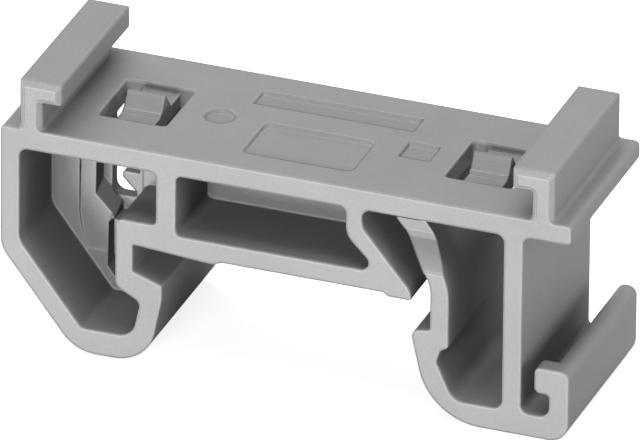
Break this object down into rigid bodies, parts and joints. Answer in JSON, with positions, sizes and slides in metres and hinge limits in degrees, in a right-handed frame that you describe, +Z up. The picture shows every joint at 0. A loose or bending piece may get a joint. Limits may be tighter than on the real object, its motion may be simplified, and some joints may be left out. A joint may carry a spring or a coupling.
{
  "type": "din rail adapter",
  "caption": "One-piece moulded clip that fastens onto a narrow top-hat mounting rail and holds a small device between two hooks on its flat top.",
  "frame": {"origin": "middle of the rail seat: on the rail's centre line, at mid depth, at the height where the pads under the web touch the rail", "axes": "+X along the profile towards the spring foot, +Y through the depth along the rail, away from the pictured face, +Z up towards the device hooks"},
  "size_m": [0.0286, 0.0094, 0.0139],
  "materials": {
    "grey_plastic": "fine matte grey moulded polyamide"
  },
  "bodies": {
    "root": {"adapter_body": "grey_plastic"}
  },
  "joints": []
}
